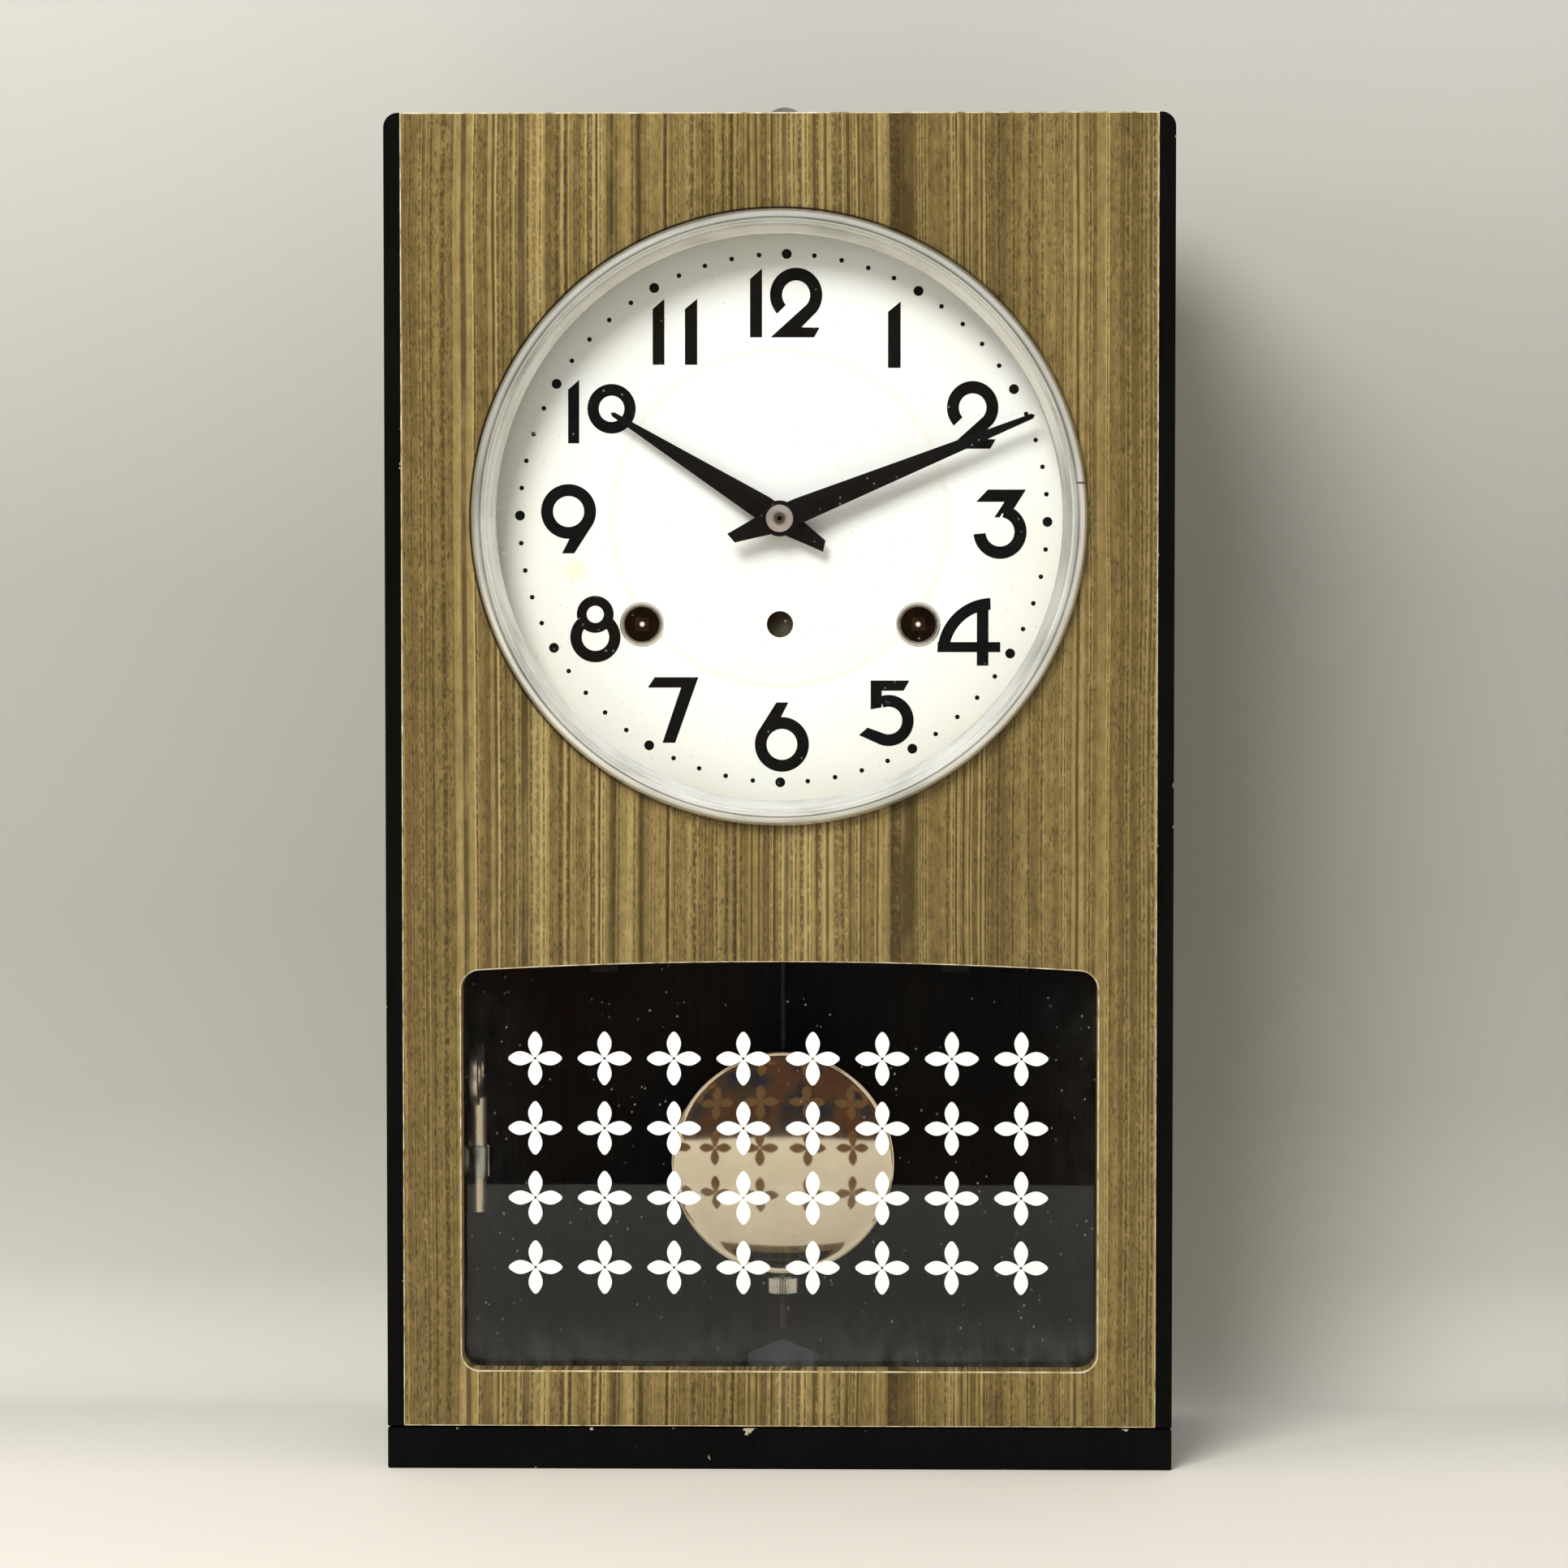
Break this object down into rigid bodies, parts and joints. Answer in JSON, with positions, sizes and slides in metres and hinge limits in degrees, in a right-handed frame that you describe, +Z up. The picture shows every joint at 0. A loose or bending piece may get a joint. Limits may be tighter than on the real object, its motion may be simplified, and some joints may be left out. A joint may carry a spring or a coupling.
{
  "type": "wall clock",
  "caption": "Spring-driven wall clock in an upright black wooden case, with a zebra-veneer front door, a chrome-rimmed round dial and a glazed pendulum window.",
  "frame": {"origin": "centre of the case's bottom face", "axes": "+Z up along the case's height, -Y out of the front with the dial, +X to the right as seen from the front"},
  "size_m": [0.267, 0.1192, 0.473],
  "materials": {
    "black_wood": "black satin lacquer, chipped to bare wood in places",
    "plywood": "raw plywood",
    "zebra_wood": "zebra-striped veneer, semi-gloss lacquer",
    "zinc_steel": "zinc-plated steel",
    "bright_steel": "bright steel",
    "hinge_brass": "dull brass",
    "movement_brass": "lacquered brass",
    "rod_brass": "pale brass",
    "catch_plastic": "black moulded plastic round a magnet",
    "blue_grey_paint": "blue-grey satin paint",
    "iron_block": "black painted iron",
    "dial_enamel": "warm white enamel with black printed figures",
    "nickel_plate": "dull nickel plate",
    "bezel_chrome": "bright chrome, slightly worn",
    "clear_glass": "clear glass",
    "hand_black": "black satin paint",
    "spring_steel": "blued spring steel",
    "bob_nickel": "polished champagne nickel",
    "key_copper": "worn pinkish brass"
  },
  "bodies": {
    "case": {"base_board": "black_wood", "side_board_left": "black_wood", "side_board_right": "black_wood", "top_board": "black_wood", "back_board": "plywood", "hanger_plate": "zinc_steel", "movement_brackets": "zinc_steel", "bracket_screws": "zinc_steel", "case_hinge_leaves": "hinge_brass", "hinge_pins": "bright_steel", "catch_magnet": "catch_plastic", "key_clip": "bright_steel", "beat_plate": "blue_grey_paint", "gong_block": "iron_block", "gong_rods": "bright_steel", "front_plate": "movement_brass", "back_plate": "movement_brass", "pillars": "movement_brass", "pillar_nuts": "zinc_steel", "dial_plate": "dial_enamel", "dial_feet": "movement_brass", "winding_eyelets": "nickel_plate", "back_cock": "movement_brass"},
    "door": {"door_board": "zebra_wood", "door_strips": "black_wood", "bezel": "bezel_chrome", "dial_glass": "clear_glass", "glass_ring": "zinc_steel", "window_glass": "clear_glass", "glass_clips": "zinc_steel", "door_hinge_leaves": "hinge_brass", "catch_plate": "zinc_steel"},
    "minute_arbor": {"minute_hand": "hand_black", "hand_nut": "bezel_chrome", "cannon_pinion": "bright_steel", "centre_wheel": "movement_brass"},
    "hour": {"hour_hand": "hand_black", "hour_wheel": "movement_brass"},
    "minute_wheel": {"minute_wheel": "movement_brass"},
    "intermediate": {"intermediate_wheel": "movement_brass"},
    "third": {"third_wheel": "movement_brass"},
    "escape": {"escape_wheel": "movement_brass"},
    "going_barrel": {"going_barrel": "movement_brass", "going_spring": "spring_steel"},
    "going_arbor": {"going_arbor": "bright_steel"},
    "strike_second": {"strike_second_wheel": "movement_brass"},
    "strike_barrel": {"strike_barrel": "movement_brass", "strike_spring": "spring_steel"},
    "strike_arbor": {"strike_arbor": "bright_steel"},
    "strike_pin_wheel": {"strike_pin_wheel": "movement_brass"},
    "strike_fly": {"strike_fly": "movement_brass"},
    "hammer": {"strike_hammer": "bright_steel"},
    "anchor": {"anchor": "bright_steel"},
    "pendulum": {"pendulum_rod": "rod_brass", "pendulum_bob": "bob_nickel"},
    "rating_nut": {"rating_nut": "rod_brass"},
    "going_click": {"going_click": "bright_steel"},
    "strike_click": {"strike_click": "bright_steel"},
    "key": {"winding_key": "key_copper"}
  },
  "joints": [
    {"name": "door_swing", "type": "hinge", "parent": "case", "child": "door", "pos_m": [-0.1317, -0.0421, 0.2], "axis": [0, 0, -1], "range_deg": [0, 110]},
    {"name": "minute_turn", "type": "hinge", "parent": "case", "child": "minute_arbor", "pos_m": [0, 0, 0.3236], "axis": [0, 1, 0], "continuous": true},
    {"name": "hour_turn", "type": "hinge", "parent": "case", "child": "hour", "pos_m": [0, 0, 0.3236], "axis": [0, 1, 0], "continuous": true},
    {"name": "minute_wheel_turn", "type": "hinge", "parent": "case", "child": "minute_wheel", "pos_m": [-0.01464, 0, 0.33205], "axis": [0, 1, 0], "continuous": true},
    {"name": "intermediate_turn", "type": "hinge", "parent": "case", "child": "intermediate", "pos_m": [0.02911, 0, 0.31884], "axis": [0, 1, 0], "continuous": true},
    {"name": "third_turn", "type": "hinge", "parent": "case", "child": "third", "pos_m": [0.01072, 0, 0.3406], "axis": [0, 1, 0], "continuous": true},
    {"name": "escape_turn", "type": "hinge", "parent": "case", "child": "escape", "pos_m": [0, 0, 0.3576], "axis": [0, 1, 0], "continuous": true},
    {"name": "going_barrel_turn", "type": "hinge", "parent": "case", "child": "going_barrel", "pos_m": [0.0472, 0, 0.2876], "axis": [0, 1, 0], "continuous": true},
    {"name": "going_winding", "type": "hinge", "parent": "case", "child": "going_arbor", "pos_m": [0.0472, 0, 0.2876], "axis": [0, 1, 0], "continuous": true},
    {"name": "strike_second_turn", "type": "hinge", "parent": "case", "child": "strike_second", "pos_m": [-0.03786, 0, 0.32247], "axis": [0, 1, 0], "continuous": true},
    {"name": "strike_barrel_turn", "type": "hinge", "parent": "case", "child": "strike_barrel", "pos_m": [-0.0472, 0, 0.2876], "axis": [0, 1, 0], "continuous": true},
    {"name": "strike_winding", "type": "hinge", "parent": "case", "child": "strike_arbor", "pos_m": [-0.0472, 0, 0.2876], "axis": [0, 1, 0], "continuous": true},
    {"name": "strike_pin_turn", "type": "hinge", "parent": "case", "child": "strike_pin_wheel", "pos_m": [-0.02434, 0, 0.3479], "axis": [0, 1, 0], "continuous": true},
    {"name": "fly_turn", "type": "hinge", "parent": "case", "child": "strike_fly", "pos_m": [-0.03053, 0, 0.36491], "axis": [0, 1, 0], "continuous": true},
    {"name": "hammer_lift", "type": "hinge", "parent": "case", "child": "hammer", "pos_m": [-0.052, 0.03, 0.3476], "axis": [0, -1, 0], "range_deg": [0, 8]},
    {"name": "pendulum_swing", "type": "hinge", "parent": "case", "child": "pendulum", "pos_m": [0, 0.022, 0.3766], "axis": [0, 1, 0], "range_deg": [-3, 3]},
    {"name": "anchor_rock", "type": "hinge", "parent": "case", "child": "anchor", "pos_m": [0, 0, 0.3766], "axis": [0, 1, 0], "range_deg": [-3, 3]},
    {"name": "rating_nut_turn", "type": "hinge", "parent": "pendulum", "child": "rating_nut", "pos_m": [0, 0.022, 0.054], "axis": [0, 0, 1], "continuous": true},
    {"name": "going_click_lift", "type": "hinge", "parent": "case", "child": "going_click", "pos_m": [0.0372, 0, 0.30492], "axis": [0, 1, 0], "range_deg": [0, 10]},
    {"name": "strike_click_lift", "type": "hinge", "parent": "case", "child": "strike_click", "pos_m": [-0.0572, 0, 0.30492], "axis": [0, 1, 0], "range_deg": [0, 10]},
    {"name": "key_pull", "type": "slide", "parent": "case", "child": "key", "axis": [0, 0, 1], "range_m": [0, 0.045]}
  ],
  "couplings": [
    {"joint": "hour_turn", "follows": "minute_turn", "ratio": 0.083333},
    {"joint": "minute_wheel_turn", "follows": "minute_turn", "ratio": -0.33333},
    {"joint": "intermediate_turn", "follows": "minute_turn", "ratio": -0.16667},
    {"joint": "third_turn", "follows": "minute_turn", "ratio": -9},
    {"joint": "escape_turn", "follows": "minute_turn", "ratio": 81},
    {"joint": "going_barrel_turn", "follows": "minute_turn", "ratio": 0.025641},
    {"joint": "strike_barrel_turn", "follows": "strike_second_turn", "ratio": -0.15385},
    {"joint": "strike_pin_turn", "follows": "strike_second_turn", "ratio": -7.2},
    {"joint": "fly_turn", "follows": "strike_second_turn", "ratio": 57.6},
    {"joint": "anchor_rock", "follows": "pendulum_swing", "ratio": 1}
  ]
}
